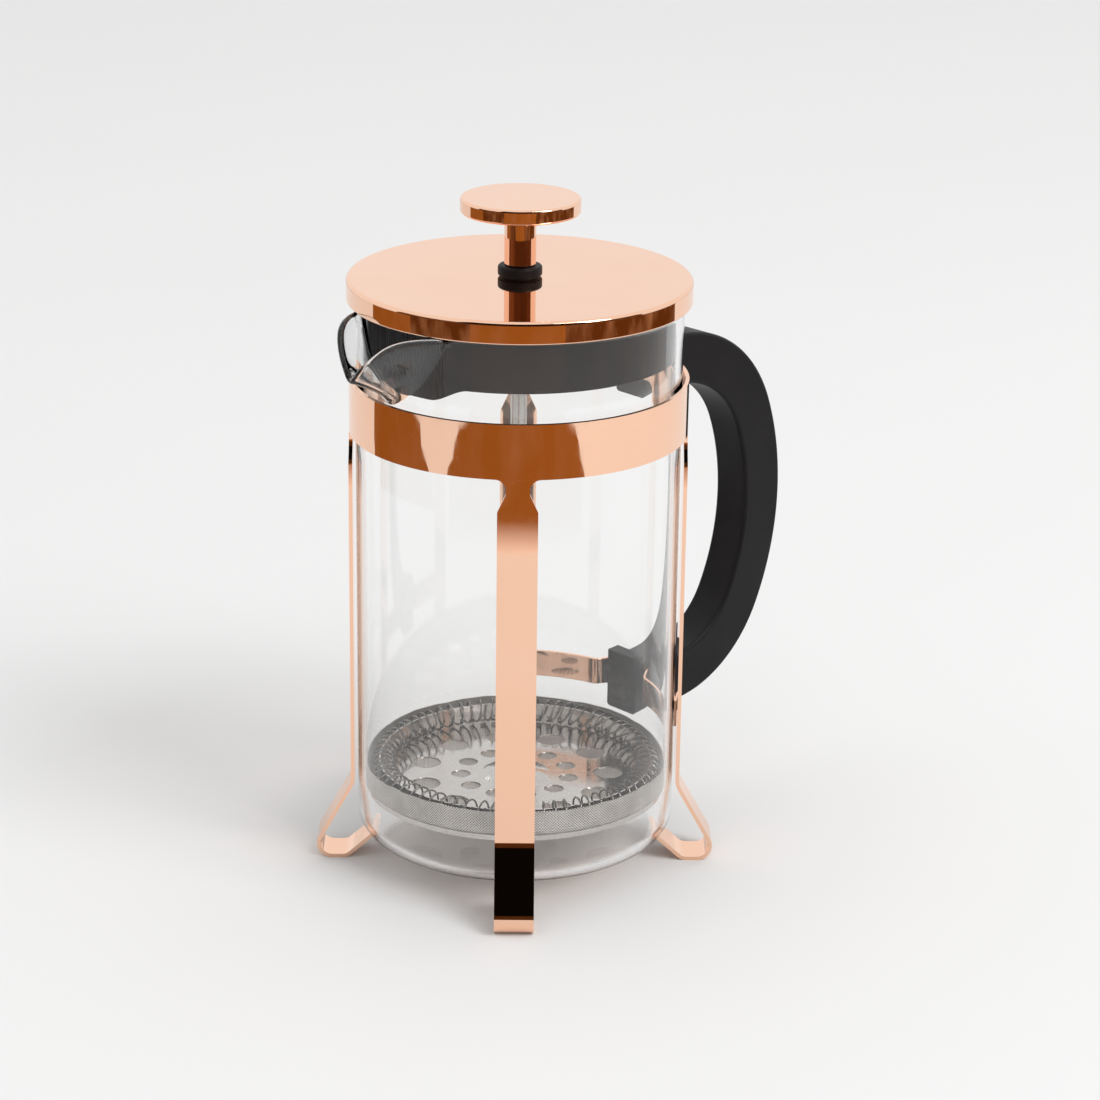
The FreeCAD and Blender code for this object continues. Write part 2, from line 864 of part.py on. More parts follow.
def make_bushing():
    """The black collar that the rod slides in. Its neck turns in the lid with the rod."""
    body = new_body("rod_bushing")
    bore = "rod_radius + running"
    turned(
        body,
        "section",
        [
            (bore, "bushing_bottom"),
            ("bushing_neck", "bushing_bottom"),
            ("bushing_neck", "bushing_seat"),
            ("bushing_waist", "bushing_seat"),
            ("bushing_waist", "bushing_waist_top"),
            ("bushing_collar", "bushing_waist_top"),
            ("bushing_collar", "bushing_top"),
            (bore, "bushing_top"),
        ],
    )
    collar = value("bushing_collar")
    levels = (value("bushing_waist_top"), value("bushing_top"))

    def collar_edge(edge):
        return any(is_circle(edge, collar, level) for level in levels)

    rounded(body, "collar_edges", collar_edge, "collar_round")
    return body


def make_ring(label, inner, outer, bottom, top):
    """A plain turned ring or tube."""
    body = new_body(label)
    turned(body, "section", [(inner, bottom), (outer, bottom), (outer, top), (inner, top)])
    return body


# ---------------------------------------------------------------- plunger


def make_knob():
    body = new_body("knob")
    bore = "rod_radius + bore_clear"
    turned(
        body,
        "disc",
        [
            (bore, "knob_bottom"),
            ("knob_radius", "knob_bottom"),
            ("knob_radius", "knob_top"),
            ("0", "knob_top"),
            ("0", "knob_socket"),
            (bore, "knob_socket"),
        ],
    )
    radius = value("knob_radius")
    levels = (value("knob_bottom"), value("knob_top"))

    def knob_edge(edge):
        return any(is_circle(edge, radius, level) for level in levels)

    rounded(body, "edges", knob_edge, "knob_round")
    return body


def make_rod():
    body = new_body("plunger_rod")
    turned(
        body,
        "bar",
        [("0", "rod_bottom"), ("rod_radius", "rod_bottom"), ("rod_radius", "rod_top"), ("0", "rod_top")],
    )
    return body


def ring_of_holes(body, name, radius, at, low, high, count, turn="0"):
    """A ring of equal round holes about the Z axis, the first turned from +X, from height low to high."""
    spot = sketch_on(body, f"{name}_spot", "XY_Plane", low)
    circle(spot, f"{at} * cos({turn})", f"{at} * sin({turn})", radius)
    before = body.Shape.Volume
    hole = feature(body, "Pocket", f"{name}_hole", spot)
    hole.Reversed = True
    bind(hole, "Length", f"({high}) - ({low})")
    doc.recompute()
    check_cut(body, name, before)
    polar(body, name, hole, count)


def make_cross_plate():
    """The stiff bottom plate that backs the screen, with a turned-down edge and wide openings."""
    body = new_body("cross_plate")
    bore = "rod_radius + bore_clear"
    turned(
        body,
        "disc",
        [
            (bore, "cross_bottom"),
            ("cross_radius - cross_edge", "cross_bottom"),
            ("cross_radius - cross_edge", "cross_bottom - cross_edge"),
            ("cross_radius", "cross_bottom - cross_edge"),
            ("cross_radius", "cross_top"),
            (bore, "cross_top"),
        ],
    )
    low, high = "cross_bottom - overshoot", "cross_top + overshoot"
    ring_of_holes(body, "wide", "cross_large_hole", "cross_large_circle", low, high, CROSS_LARGE_HOLES)
    ring_of_holes(body, "narrow", "cross_small_hole", "cross_small_circle", low, high, CROSS_SMALL_HOLES)
    return body


def make_screen():
    """The wire-cloth screen: a shallow dish whose rim the coil spring presses against the glass."""
    body = new_body("mesh_screen")
    bore = "rod_radius + bore_clear"
    top = "cross_top + screen_sheet"
    inner = "screen_radius - screen_sheet"
    turned(
        body,
        "dish",
        [
            (bore, "cross_top"),
            ("screen_radius - screen_round", "cross_top", "screen_round", "left"),
            ("screen_radius", "cross_top + screen_round"),
            ("screen_radius", "screen_top"),
            (inner, "screen_top"),
            (inner, "cross_top + screen_round", "screen_round - screen_sheet", "right"),
            ("screen_radius - screen_round", top),
            (bore, top),
        ],
    )
    return body


def make_spiral_plate():
    """The dished plate above the screen. The coil spring winds in and out of the holes in its rim."""
    body = new_body("spiral_plate")
    bore = "rod_radius + bore_clear"
    floor = "cross_top + screen_sheet"
    top = f"{floor} + plate_sheet"
    turned(
        body,
        "dish",
        [
            (bore, floor),
            ("plate_rim", floor),
            ("plate_rim", "plate_rim_top"),
            ("plate_rim - plate_sheet", "plate_rim_top"),
            ("plate_rim - plate_sheet", top),
            ("dome_radius", top),
            ("dome_flat", f"{top} + dome_rise"),
            (bore, f"{top} + dome_rise"),
        ],
    )
    low, high = f"{floor} - overshoot", f"{top} + overshoot"
    ring_of_holes(body, "large", "large_hole", "large_circle", low, high, PLATE_HOLES, "large_turn")
    ring_of_holes(body, "small", "small_hole", "small_circle", low, high, PLATE_HOLES, "small_turn")
    window = sketch_on(body, "rim_window", "YZ_Plane", "plate_rim - plate_sheet - overshoot")
    rectangle(window, "0 - rim_hole_half", "rim_hole_bottom", "rim_hole_half", "rim_hole_top")
    before = body.Shape.Volume
    slot = feature(body, "Pocket", "rim_slot", window)
    slot.Reversed = True
    bind(slot, "Length", "plate_sheet + 2 * overshoot")
    doc.recompute()
    check_cut(body, "rim_slot", before)
    polar(body, "rim_slots", slot, RIM_HOLES)
    return body


def make_coil():
    """The coil spring round the screen's rim, as the ring its turns fill, open below for the plate."""
    body = new_body("coil_spring")
    centre = "(plate_rim - plate_sheet / 2)"
    inside = "(coil_radius - coil_wall)"
    outer_z = "coil_height - sqrt(coil_radius * coil_radius - coil_slot * coil_slot)"
    inner_z = f"coil_height - sqrt({inside} * {inside} - coil_slot * coil_slot)"
    turned(
        body,
        "section",
        [
            (f"{centre} + coil_slot", outer_z, "coil_radius", "left", "major"),
            (f"{centre} - coil_slot", outer_z),
            (f"{centre} - coil_slot", inner_z, inside, "right", "major"),
            (f"{centre} + coil_slot", inner_z),
        ],
    )
    return body


# ---------------------------------------------------------------- everything


def check(items):
    """Stops if any object of the document failed, or any piece isn't one sound solid."""
    for item in doc.Objects:
        if "Invalid" in item.State or "Error" in item.State:
            raise RuntimeError(f"{item.Name} is {item.State}: {item.getStatusString()}")
    for item in items:
        if item.Shape.isNull() or not item.Shape.isValid() or len(item.Shape.Solids) != 1:
            raise RuntimeError(f"{item.Label} is not one valid solid")


fill_sheet()
bore = "rod_radius + bore_clear"
collar_seat = "cross_top + screen_sheet + plate_sheet + dome_rise"
pieces = [make_beaker(), make_band()]
pieces += [make_leg(label, angle) for label, angle in LEG_ANGLES.items()]
pieces += [make_strap(), make_handle(), make_screw(), make_nut()]
pieces += [make_cover(), make_insert(), make_bushing()]
pieces += [
    make_ring("bushing_clip", "bushing_neck + bore_clear", "clip_radius", "clip_bottom", "clip_top"),
    make_knob(),
    make_ring("knob_stem", bore, "stem_radius", "stem_bottom", "knob_bottom"),
    make_rod(),
    make_ring("rod_collar", bore, "collar_radius", collar_seat, "collar_top"),
    make_spiral_plate(),
    make_coil(),
    make_screen(),
    make_cross_plate(),
    make_ring("hub_nut", bore, "hub_radius", "hub_bottom", "cross_bottom"),
]
doc.recompute()
check(pieces)
os.makedirs("parts", exist_ok=True)
for piece in pieces:
    piece.Shape.exportStep(f"parts/{piece.Label}.step")
    box = piece.Shape.BoundBox
    print(f"{piece.Label}: {piece.Shape.Volume:.0f} mm3, z {box.ZMin:.1f} to {box.ZMax:.1f}")
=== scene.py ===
import math
import random

import bmesh
import bpy
from mathutils import Matrix, Vector


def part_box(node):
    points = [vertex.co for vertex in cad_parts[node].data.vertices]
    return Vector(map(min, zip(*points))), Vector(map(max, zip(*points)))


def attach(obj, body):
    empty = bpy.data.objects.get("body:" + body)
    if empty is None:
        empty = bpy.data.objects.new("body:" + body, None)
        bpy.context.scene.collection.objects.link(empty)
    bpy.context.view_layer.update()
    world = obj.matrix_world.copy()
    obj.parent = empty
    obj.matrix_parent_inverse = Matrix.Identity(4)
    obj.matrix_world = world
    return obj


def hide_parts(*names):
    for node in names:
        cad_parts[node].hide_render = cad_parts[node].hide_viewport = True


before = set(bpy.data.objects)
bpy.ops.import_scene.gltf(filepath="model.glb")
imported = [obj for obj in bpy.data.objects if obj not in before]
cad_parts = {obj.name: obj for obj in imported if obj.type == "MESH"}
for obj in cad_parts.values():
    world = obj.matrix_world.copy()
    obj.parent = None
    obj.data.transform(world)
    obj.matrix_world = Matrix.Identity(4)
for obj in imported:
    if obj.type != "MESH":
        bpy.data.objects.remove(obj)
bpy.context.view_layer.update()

# Shapes are drawn in millimetres in the frame of the CAD model and scaled to metres when a mesh is made.
MM = 0.001
TURN = 2 * math.pi


def low(node, axis):
    """The lowest coordinate of a CAD node along an axis, in millimetres."""
    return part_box(node)[0]["xyz".index(axis)] / MM


def high(node, axis):
    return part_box(node)[1]["xyz".index(axis)] / MM


# ------------------------------------------------------------------ mesh helpers


def piece(name, verts, faces, material, body, replaces=(), sharp=32):
    """A smooth-shaded mesh piece that rides on a body and may stand for CAD nodes."""
    mesh = bpy.data.meshes.new(name)
    mesh.from_pydata([Vector(point) * MM for point in verts], [], faces)
    clean = bmesh.new()
    clean.from_mesh(mesh)
    bmesh.ops.remove_doubles(clean, verts=clean.verts, dist=2e-6)
    bmesh.ops.dissolve_degenerate(clean, edges=clean.edges, dist=1e-7)
    bmesh.ops.recalc_face_normals(clean, faces=clean.faces)
    clean.to_mesh(mesh)
    clean.free()
    mesh.shade_smooth()
    mesh.set_sharp_from_angle(angle=math.radians(sharp))
    thing = bpy.data.objects.new(name, mesh)
    bpy.context.scene.collection.objects.link(thing)
    mesh.materials.append(material)
    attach(thing, body)
    if replaces:
        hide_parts(*replaces)
    return thing


def weigh_normals(thing):
    weighted = thing.modifiers.new("even_normals", "WEIGHTED_NORMAL")
    weighted.keep_sharp = True
    weighted.weight = 100


def rounded(corners, closed=True, steps=6):
    """A polyline of (x, y) points from (x, y, radius) corners, each turned with that radius."""
    points = []
    count = len(corners)
    for index, (x, y, radius) in enumerate(corners):
        here = Vector((x, y))
        if radius == 0 or (not closed and index in (0, count - 1)):
            points.append(here)
            continue
        before = Vector(corners[index - 1][:2]) - here
        after = Vector(corners[(index + 1) % count][:2]) - here
        before.normalize()
        after.normalize()
        half = before.angle(after) / 2
        middle = (before + after).normalized()
        centre = here + middle * (radius / math.sin(half))
        start = here + before * (radius / math.tan(half)) - centre
        end = here + after * (radius / math.tan(half)) - centre
        sweep = start.angle_signed(end)
        for step in range(steps + 1):
            points.append(centre + Matrix.Rotation(-sweep * step / steps, 2) @ start)
    return points


def turned_faces(turns, count, closed=True):
    """Quads between neighbouring copies of an outline of count points that is turned about the Z axis."""
    faces = []
    for turn in range(turns):
        here = turn * count
        there = (turn + 1) % turns * count if closed else (turn + 1) * count
        for index in range(count):
            after = (index + 1) % count
            faces.append((here + index, there + index, there + after, here + after))
    return faces


def lathe(name, corners, material, body, replaces=(), segments=192, steps=6, sharp=32, shift=None):
    """A closed outline of (radius, height, corner radius) turned about the Z axis."""
    outline = rounded(corners, steps=steps)
    verts = []
    for turn in range(segments):
        angle = TURN * turn / segments
        for radius, height in outline:
            reach = radius + (shift(angle, radius, height) if shift else 0)
            verts.append((reach * math.cos(angle), reach * math.sin(angle), height))
    faces = turned_faces(segments, len(outline))
    thing = piece(name, verts, faces, material, body, replaces, sharp)
    weigh_normals(thing)
    return thing


# ------------------------------------------------------------------ materials


class Surface:
    """A node material around one Principled shader, with short calls for the nodes that the finishes use."""

    def __init__(self, name, colour, metallic=0.0, roughness=0.5):
        self.material = bpy.data.materials.new(name)
        self.material.use_nodes = True
        self.nodes = self.material.node_tree.nodes
        self.links = self.material.node_tree.links
        self.shader = self.nodes["Principled BSDF"]
        self.shader.inputs["Base Color"].default_value = (*colour, 1)
        self.shader.inputs["Metallic"].default_value = metallic
        self.shader.inputs["Roughness"].default_value = roughness
        self.place = self.nodes.new("ShaderNodeTexCoord").outputs["Object"]

    def link(self, source, target):
        self.links.new(source, target)

    def stretched(self, x, y, z):
        mapping = self.nodes.new("ShaderNodeMapping")
        mapping.inputs["Scale"].default_value = (x, y, z)
        self.link(self.place, mapping.inputs["Vector"])
        return mapping.outputs["Vector"]

    def noise(self, scale, detail=2.0, where=None, distortion=0.0):
        node = self.nodes.new("ShaderNodeTexNoise")
        node.inputs["Scale"].default_value = scale
        node.inputs["Detail"].default_value = detail
        node.inputs["Distortion"].default_value = distortion
        self.link(where or self.place, node.inputs["Vector"])
        return node.outputs["Fac"]

    def specks(self, scale, size):
        """1 on small round specks scattered over the surface, 0 between them."""
        cells = self.nodes.new("ShaderNodeTexVoronoi")
        cells.inputs["Scale"].default_value = scale
        self.link(self.place, cells.inputs["Vector"])
        return self.between(cells.outputs["Distance"], size, size * 0.5, 0.0, 1.0)

    def between(self, value, from_low, from_high, to_low, to_high):
        node = self.nodes.new("ShaderNodeMapRange")
        node.inputs["From Min"].default_value = from_low
        node.inputs["From Max"].default_value = from_high
        node.inputs["To Min"].default_value = to_low
        node.inputs["To Max"].default_value = to_high
        self.link(value, node.inputs["Value"])
        return node.outputs["Result"]

    def sums(self, operation, first, second):
        node = self.nodes.new("ShaderNodeMath")
        node.operation = operation
        for socket, value in zip(node.inputs, (first, second)):
            if isinstance(value, (int, float)):
                socket.default_value = value
            else:
                self.link(value, socket)
        return node.outputs["Value"]

    def colours(self, value, first, second):
        ramp = self.nodes.new("ShaderNodeValToRGB")
        ramp.color_ramp.elements[0].color = (*first, 1)
        ramp.color_ramp.elements[1].color = (*second, 1)
        self.link(value, ramp.inputs["Fac"])
        self.link(ramp.outputs["Color"], self.shader.inputs["Base Color"])

    def rough(self, value):
        self.link(value, self.shader.inputs["Roughness"])

    def bump(self, height, strength, distance):
        node = self.nodes.new("ShaderNodeBump")
        node.inputs["Strength"].default_value = strength
        node.inputs["Distance"].default_value = distance
        self.link(height, node.inputs["Height"])
        self.link(node.outputs["Normal"], self.shader.inputs["Normal"])


def copper_plate():
    """Bright rose-gold plating: nearly a mirror, with faint rolling waves, haze and a few pinholes."""
    look = Surface("copper_plate", (0.96, 0.605, 0.43), metallic=1.0)
    blotch = look.between(look.noise(22, detail=3), 0.3, 0.7, 0.0, 1.0)
    look.colours(blotch, (0.955, 0.59, 0.415), (0.965, 0.62, 0.445))
    haze = look.between(look.noise(260, detail=4), 0.35, 0.75, 0.02, 0.06)
    pits = look.specks(330, 0.07)
    look.rough(look.sums("ADD", haze, look.sums("MULTIPLY", pits, 0.12)))
    waves = look.sums("MULTIPLY", look.noise(28, detail=1), 0.6)
    height = look.sums("SUBTRACT", waves, look.sums("MULTIPLY", pits, 0.05))
    look.bump(height, 0.05, 0.002)
    return look.material


def black_plastic():
    """Satin moulded plastic with a fine spark-eroded grain and slightly polished patches."""
    look = Surface("black_plastic", (0.014, 0.014, 0.015))
    look.colours(look.noise(120, detail=3), (0.011, 0.011, 0.012), (0.017, 0.017, 0.018))
    worn = look.between(look.noise(45, detail=4), 0.35, 0.7, 0.27, 0.36)
    look.rough(worn)
    look.bump(look.noise(1500, detail=1), 0.02, 0.000005)
    look.shader.inputs["Specular IOR Level"].default_value = 0.2
    return look.material


def handle_plastic():
    """The handle's harder, darker moulding: matt, with a fine grain and a faint cloudiness."""
    look = Surface("handle_plastic", (0.008, 0.0075, 0.0085))
    look.colours(look.noise(90, detail=3), (0.006, 0.0055, 0.0065), (0.011, 0.01, 0.0115))
    look.rough(look.between(look.noise(40, detail=4), 0.35, 0.7, 0.42, 0.52))
    look.bump(look.noise(2600, detail=2), 0.25, 0.00012)
    look.shader.inputs["Specular IOR Level"].default_value = 0.16
    return look.material


def polished_steel():
    look = Surface("polished_steel", (0.6, 0.585, 0.56), metallic=1.0)
    look.colours(look.noise(60, detail=3), (0.48, 0.455, 0.435), (0.6, 0.57, 0.545))
    look.rough(look.between(look.noise(500, detail=4), 0.3, 0.7, 0.08, 0.2))
    look.bump(look.noise(90, detail=2), 0.05, 0.001)
    return look.material


def drawn_steel():
    """Rod and wire: drawn steel with fine lines along Z."""
    look = Surface("drawn_steel", (0.55, 0.54, 0.52), metallic=1.0)
    lines = look.noise(1, detail=4, where=look.stretched(2600, 2600, 40))
    look.colours(lines, (0.42, 0.41, 0.39), (0.62, 0.61, 0.59))
    look.rough(look.between(lines, 0.3, 0.7, 0.14, 0.3))
    look.bump(lines, 0.1, 0.0001)
    return look.material


def wire_steel():
    look = Surface("wire_steel", (0.2, 0.19, 0.18), metallic=1.0)
    look.colours(look.noise(700, detail=3), (0.15, 0.14, 0.13), (0.27, 0.26, 0.25))
    look.rough(look.between(look.noise(1500, detail=2), 0.3, 0.7, 0.12, 0.26))
    look.bump(look.noise(2500, detail=2), 0.1, 0.0001)
    return look.material


def wire_cloth(pitch):
    """Fine woven steel wire: two crossing sets of wires drawn from the UV map, whose unit is a millimetre."""
    look = Surface("wire_cloth", (0.42, 0.41, 0.39), metallic=0.85)
    place = look.nodes.new("ShaderNodeUVMap").outputs["UV"]
    split = look.nodes.new("ShaderNodeSeparateXYZ")
    look.link(place, split.inputs["Vector"])
    waves = []
    for axis in ("X", "Y"):
        turned = look.sums("MULTIPLY", split.outputs[axis], TURN / pitch)
        waves.append(look.sums("SINE", turned, 0))
    weave = look.sums("MULTIPLY", waves[0], waves[1])
    wires = look.sums("MAXIMUM", look.sums("ABSOLUTE", waves[0], 0), look.sums("ABSOLUTE", waves[1], 0))
    shade = look.between(wires, 0.45, 1.0, 0.0, 1.0)
    cloudy = look.noise(160, detail=3)
    look.colours(look.sums("MULTIPLY", shade, look.between(cloudy, 0.2, 0.8, 0.7, 1.15)),
                 (0.06, 0.056, 0.052), (0.72, 0.69, 0.66))
    look.rough(look.between(shade, 0.0, 1.0, 0.6, 0.32))
    look.bump(look.sums("ADD", look.sums("MULTIPLY", weave, 0.5), shade), 0.5, 0.0002)
    return look.material


def clear_glass():
    """Borosilicate glass with faint drawing lines. Lamps shine through it, with a painted warm tint."""
    look = Surface("clear_glass", (0.997, 1.0, 0.998), roughness=0.0)
    look.shader.inputs["Transmission Weight"].default_value = 1.0
    look.shader.inputs["IOR"].default_value = 1.47
    waves = look.noise(1, detail=1, where=look.stretched(30, 30, 9))
    look.bump(waves, 0.02, 0.001)
    # painted light: shadow and diffuse rays pass through the glass tinted warm, so the shade under it takes
    # on the glow of light bounced off the copper
    through = look.nodes.new("ShaderNodeBsdfTransparent")
    through.inputs["Color"].default_value = (0.99, 0.96, 0.94, 1)
    path = look.nodes.new("ShaderNodeLightPath")
    shown = look.shader.outputs["BSDF"]
    for ray in ("Is Shadow Ray", "Is Diffuse Ray"):
        mix = look.nodes.new("ShaderNodeMixShader")
        look.link(path.outputs[ray], mix.inputs["Fac"])
        look.link(shown, mix.inputs[1])
        look.link(through.outputs["BSDF"], mix.inputs[2])
        shown = mix.outputs["Shader"]
    look.link(shown, look.nodes["Material Output"].inputs["Surface"])
    return look.material


COPPER = copper_plate()
PLASTIC = black_plastic()
HANDLE_PLASTIC = handle_plastic()
STEEL = polished_steel()
ROD_STEEL = drawn_steel()
WIRE = wire_steel()
CLOTH = wire_cloth(1.8)
GLASS = clear_glass()

# ------------------------------------------------------------------ glass beaker

GLASS_RADIUS = high("glass_beaker", "x")
GLASS_RIM = high("glass_beaker", "z")
GLASS_UNDERSIDE = low("glass_beaker", "z")
HALF_WALL = 1.1
LIP_HALF_WALL = 1.05
BASE_ROUND = 8.0
SPOUT_BOTTOM = 158.0
SPOUT_HALF_ANGLE = 25.0
# degrees from the spout's middle where the thinned lip starts to thicken, and how many it takes
THIN_HALF_ANGLE = 16
THIN_FADE = 10
# how much of half the wall the lip's edge stands in from its outermost line, and down from it
LIP_IN = 0.15
LIP_DOWN = 0.35
# the bulge under the spout starts this far above its bottom, and higher away from its middle
BULGE_START = 3.0
BULGE_CLIMB = 22.0
# the beaker and the lid's body stand with the spout turned this many degrees from the handle's plane
SPOUT_AROUND = 175.0
# the lip's outermost edge: degrees from the spout's middle, distance from the axis, height under the rim
LIP_EDGE = (
    (0.0, 65.1, 13.3),
    (3.6, 64.7, 9.6),
    (7.4, 63.4, 5.3),
    (10.6, 61.7, 2.4),
    (13.8, 59.3, 0.8),
    (17.4, 56.2, 0.15),
    (20.3, 53.7, 0.0),
    (25.0, 50.9, 0.0),
    (30.0, 50.4, 0.0),
)


def eased(value):
    value = min(max(value, 0.0), 1.0)
    return value * value * (3 - 2 * value)


def through(points, column, place):
    """A smooth curve through one column of a table, mirrored at 0 and level past its end."""
    if place >= points[-1][0]:
        return points[-1][column]
    table = [(-points[1][0], points[1][column])] + [(row[0], row[column]) for row in points]
    table.append((2 * table[-1][0] - table[-2][0], table[-1][1]))
    index = next(i for i in range(2, len(table) - 1) if table[i][0] >= place)
    (x0, y0), (x1, y1), (x2, y2), (x3, y3) = table[index - 2:index + 2]
    span = x2 - x1
    share = (place - x1) / span
    leave, arrive = (y2 - y0) / (x2 - x0) * span, (y3 - y1) / (x3 - x1) * span
    square, cube = share**2, share**3
    return (
        y1 * (2 * cube - 3 * square + 1)
        + leave * (cube - 2 * square + share)
        + y2 * (3 * square - 2 * cube)
        + arrive * (cube - square)
    )


def lip(angle):
    """The top of the wall's middle surface at an angle in degrees from the spout: radius and height."""
    away = abs(angle)
    flared = 1 - eased((away - THIN_HALF_ANGLE) / THIN_FADE)
    half = HALF_WALL + (LIP_HALF_WALL - HALF_WALL) * flared
    reach = through(LIP_EDGE, 1, away) - half * (1 - LIP_IN * flared)
    return reach, GLASS_RIM - through(LIP_EDGE, 2, away) - half * (1 - LIP_DOWN * flared)


def wall_point(angle, share):
    """The middle of the glass wall at an angle from the spout.

    The share runs from 0 below the spout to 1 at the lip.
    """
    reach, top = lip(angle)
    inner = GLASS_RADIUS - HALF_WALL
    height = SPOUT_BOTTOM + (top - SPOUT_BOTTOM) * share
    away = min(abs(angle) / SPOUT_HALF_ANGLE, 1.0)
    start = SPOUT_BOTTOM + BULGE_START + BULGE_CLIMB * away**1.8
    rise = min(max((height - start) / max(top - start, 1.0), 0.0), 1.0) ** 1.6
    belly = eased(abs(angle) / 8)
    flare = rise * (1 - belly) + math.sin(math.pi / 2 * rise) * belly
    return inner + max(reach - inner, 0.0) * flare, height


def beaker():
    """The glass as one wall about its middle surface: base, side, spout and a rounded rim."""
    near = [step * 0.6 for step in range(-50, 51)]
    far = [30 + step * 2.0 for step in range(1, 150)]
    angles = near + far
    angles = [angle - 360 if angle > 180 else angle for angle in angles]
    middle = GLASS_RADIUS - HALF_WALL
    turn = BASE_ROUND - HALF_WALL
    floor = GLASS_UNDERSIDE + HALF_WALL
    foot = [((middle - turn) * step / 10, floor) for step in range(10)]
    for step in range(13):
        sweep = math.radians(90 * step / 12)
        foot.append((middle - turn + turn * math.sin(sweep), floor + turn * (1 - math.cos(sweep))))
    foot += [(middle, height) for height in (24, 40, 70, 100, 130, 148)]
    levels = 34
    columns = []
    for angle in angles:
        column = list(foot)
        column += [wall_point(angle, step / levels) for step in range(levels + 1)]
        around = math.radians(SPOUT_AROUND + angle)
        columns.append([Vector((r * math.cos(around), r * math.sin(around), z)) for r, z in column])
    count = len(columns[0])
    total = len(columns)
    verts = []
    for index in range(total):
        before, here, after = columns[index - 1], columns[index], columns[(index + 1) % total]
        outer = []
        inner = []
        for level in range(count):
            up = here[min(level + 1, count - 1)] - here[max(level - 1, 0)]
            along = after[level] - before[level]
            normal = along.cross(up)
            if level == 0 or normal.length < 1e-6:
                normal = Vector((0, 0, -1))
            normal.normalize()
            thinner = (HALF_WALL - LIP_HALF_WALL) * eased((level - count + 16) / 14)
            half = HALF_WALL - thinner * (1 - eased((abs(angles[index]) - THIN_HALF_ANGLE) / THIN_FADE))
            outer.append(here[level] + normal * half)
            inner.append(here[level] - normal * half)
            if level == count - 1:
                up.normalize()
                edge = [
                    here[level] + (normal * math.cos(a) + up * math.sin(a)) * half
                    for a in (math.radians(180 * step / 8) for step in range(1, 8))
                ]
        verts.append(outer + edge + inner[::-1])
    ring = len(verts[0])
    faces = []
    for index in range(total):
        here, there = index * ring, (index + 1) % total * ring
        for level in range(ring - 1):
            faces.append((here + level, there + level, there + level + 1, here + level + 1))
    points = [point for column in verts for point in column]
    glass = piece("beaker_glass", points, faces, GLASS, "beaker", ["glass_beaker"], sharp=60)


beaker()

# ------------------------------------------------------------------ stamped copper frame

SHEET = 1.2
FRAME_RADIUS = high("frame_band", "y")
BAND_BOTTOM = low("frame_band", "z")
BAND_TOP = high("frame_band", "z")
EAR_END = high("frame_band", "x")
EAR_BOTTOM, EAR_TOP = 151.0, 159.4
EAR_FACE = 1.45
EAR_BEND = 0.8
EAR_OPENING = 13.5
EAR_CORNER = 2.5
NECK_ROOT, NECK_HALF, LEG_HALF = 6.8, 3.6, 6.1
NECK_END, SHOULDER = 139.2, 133.7
LEG_ANGLES = (45, 135, 225, 315)
LEG_NODES = ("leg_handle_left", "leg_spout_left", "leg_spout_right", "leg_handle_right")
ACROSS = 8


def band_bottom(y):
    """Height of the band's lower edge, which steps up beside the handle."""
    y = abs(y)
    if y >= EAR_OPENING + EAR_CORNER:
        return BAND_BOTTOM
    if y > EAR_OPENING:
        away = EAR_OPENING + EAR_CORNER - y
        return BAND_BOTTOM + EAR_CORNER - math.sqrt(EAR_CORNER**2 - away**2)
    away = max(y - (EAR_OPENING - EAR_CORNER), 0.0)
    return EAR_BOTTOM - EAR_CORNER + math.sqrt(EAR_CORNER**2 - away**2)


def band_plan():
    """Plan points (x, y, bottom, top) of the band's outer face, from one ear's end round to the other's."""
    offsets = [step / ACROSS * 2 - 1 for step in range(ACROSS + 1)]
    marks = []
    for centre in LEG_ANGLES:
        marks += [centre + math.degrees(math.asin(NECK_ROOT * k / FRAME_RADIUS)) for k in offsets]
    notch = [EAR_OPENING + EAR_CORNER * s for s in (1, 0.8, 0.6, 0.4, 0.2, 0.1, 0.03, 0.004)]
    notch += [EAR_OPENING - EAR_CORNER * s for s in (0.004, 0.03, 0.1, 0.2, 0.4, 0.6, 0.8, 1)]
    start = math.degrees(math.asin((EAR_FACE + EAR_BEND) / FRAME_RADIUS))
    for y in notch:
        edge = math.degrees(math.asin(y / FRAME_RADIUS))
        marks += [edge, 360 - edge]
    marks += [start, 360 - start]
    marks.sort()
    angles = []
    for here, there in zip(marks, marks[1:]):
        pieces = max(1, math.ceil((there - here) / 1.25))
        angles += [here + (there - here) * step / pieces for step in range(pieces)]
    angles.append(marks[-1])
    ring = []
    for angle in angles:
        x, y = (FRAME_RADIUS * f(math.radians(angle)) for f in (math.cos, math.sin))
        ring.append((x, y, band_bottom(y) if x > 0 else BAND_BOTTOM, BAND_TOP))
    bend_x = ring[0][0] + EAR_BEND
    ear = [(EAR_END, EAR_FACE, EAR_BOTTOM, EAR_TOP)]
    for step in range(7):
        sweep = math.radians(90 - 15 * step)
        x = bend_x - EAR_BEND * math.cos(sweep)
        y = EAR_FACE + EAR_BEND * (1 - math.sin(sweep))
        ear.append((x, y, EAR_BOTTOM, EAR_TOP if step < 6 else BAND_TOP))
    return ear[:-1] + ring + [(x, -y, bottom, top) for x, y, bottom, top in reversed(ear[:-1])]


